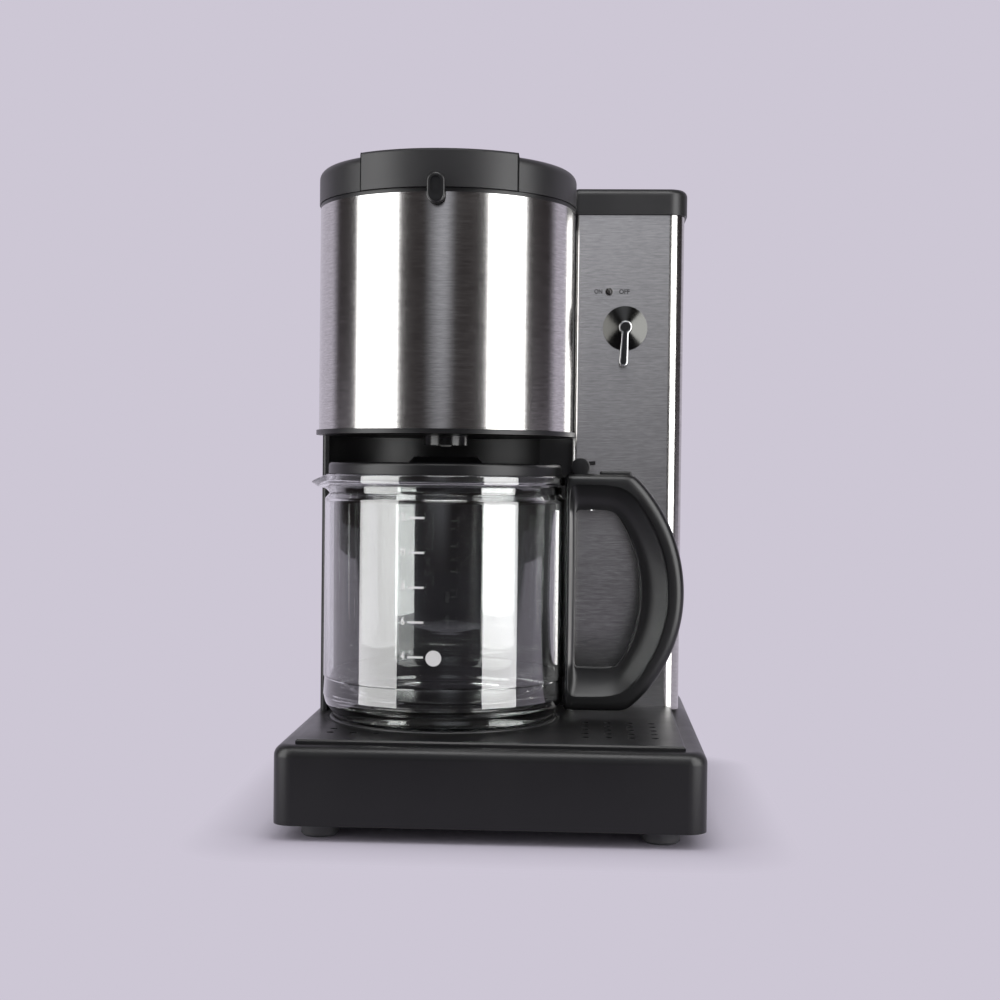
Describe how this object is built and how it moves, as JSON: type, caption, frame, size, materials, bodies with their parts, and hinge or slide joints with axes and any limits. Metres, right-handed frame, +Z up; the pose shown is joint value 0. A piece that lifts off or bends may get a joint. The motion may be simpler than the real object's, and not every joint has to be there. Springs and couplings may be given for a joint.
{
  "type": "drip coffee maker",
  "caption": "Drip coffee maker: round steel brew head over a glass carafe on a warming plate, with a water tower and turn switch beside it.",
  "frame": {"origin": "on the floor under the middle of the base", "axes": "+Z up, front towards -Y, +X to the right seen from the front"},
  "size_m": [0.218, 0.23, 0.3515],
  "materials": {
    "black_satin": "satin black moulded plastic",
    "grey_satin": "satin dark grey moulded plastic",
    "handle_black": "semi-gloss black phenolic plastic",
    "brushed_steel": "stainless sheet brushed round the head",
    "grey_rubber": "moulded dark grey rubber",
    "dark_enamel": "black non-stick coating on steel",
    "black_rubber": "moulded black silicone rubber",
    "silicone": "translucent silicone rubber",
    "clear_plastic": "clear plastic band",
    "heater_aluminium": "as cast aluminium",
    "inner_plastic": "ivory heat-resisting plastic",
    "plated_steel": "bright plated steel",
    "milky_plastic": "milky polypropylene",
    "basket_black": "black polypropylene",
    "dark_chrome": "dark polished chrome",
    "chrome": "polished chrome",
    "inlay_black": "gloss black inlay",
    "lens": "red translucent lens",
    "glass": "clear heat-resisting glass"
  },
  "bodies": {
    "machine": {"base_housing": "black_satin", "base_cover": "black_satin", "rubber_feet": "grey_rubber", "base_screws": "plated_steel", "platform_plate": "black_satin", "warming_plate": "dark_enamel", "plate_seal": "black_rubber", "heater_tube": "heater_aluminium", "heater_clamp": "heater_aluminium", "thermostat": "inner_plastic", "thermal_fuse": "inner_plastic", "cord_gland": "black_satin", "rear_column": "black_satin", "rear_cover": "black_satin", "tower_sleeve": "brushed_steel", "water_tank": "milky_plastic", "check_valve": "milky_plastic", "feed_hose": "silicone", "riser_hose": "silicone", "head_sleeve": "brushed_steel", "head_liner": "black_satin", "head_rim": "black_satin", "filter_basket": "basket_black", "escutcheon": "dark_chrome", "switch_body": "inner_plastic", "pilot_lens": "lens", "brew_lid_pin": "plated_steel", "tank_lid_pin": "plated_steel", "drip_spring": "plated_steel"},
    "brew_lid": {"brew_lid": "grey_satin", "lid_pull_tab": "grey_satin", "lid_liner": "grey_satin", "spreader": "milky_plastic"},
    "tank_lid": {"tank_lid": "grey_satin"},
    "switch_lever": {"switch_lever": "chrome", "lever_inlay": "inlay_black", "switch_shaft": "chrome"},
    "drip_valve": {"drip_valve": "milky_plastic", "drip_seal": "silicone", "valve_clip": "milky_plastic"},
    "carafe": {"carafe_glass": "glass", "handle": "handle_black", "neck_strap": "clear_plastic", "strap_screw": "plated_steel", "carafe_lid_pin": "plated_steel"},
    "carafe_lid": {"carafe_lid": "grey_satin"}
  },
  "joints": [
    {"name": "brew_lid_hinge", "type": "hinge", "parent": "machine", "child": "brew_lid", "pos_m": [-0.031, 0.078, 0.338], "axis": [-1, 0, 0], "range_deg": [0, 100]},
    {"name": "tank_lid_hinge", "type": "hinge", "parent": "machine", "child": "tank_lid", "pos_m": [0.0706, 0.1105, 0.339], "axis": [-1, 0, 0], "range_deg": [0, 95]},
    {"name": "switch_turn", "type": "hinge", "parent": "machine", "child": "switch_lever", "pos_m": [0.0687, 0.03, 0.2704], "axis": [0, -1, 0], "range_deg": [0, 36]},
    {"name": "drip_valve_lift", "type": "slide", "parent": "machine", "child": "drip_valve", "axis": [0, 0, 1], "range_m": [0, 0.004], "stiffness_N_per_m": 150, "springref_m": -0.004, "deforming": ["drip_spring"]},
    {"name": "carafe_out", "type": "slide", "parent": "machine", "child": "carafe", "axis": [0, -1, 0], "range_m": [0, 0.16]},
    {"name": "carafe_lid_hinge", "type": "hinge", "parent": "carafe", "child": "carafe_lid", "pos_m": [0.043, -0.018, 0.1892], "axis": [0, 1, 0], "range_deg": [0, 4]}
  ]
}
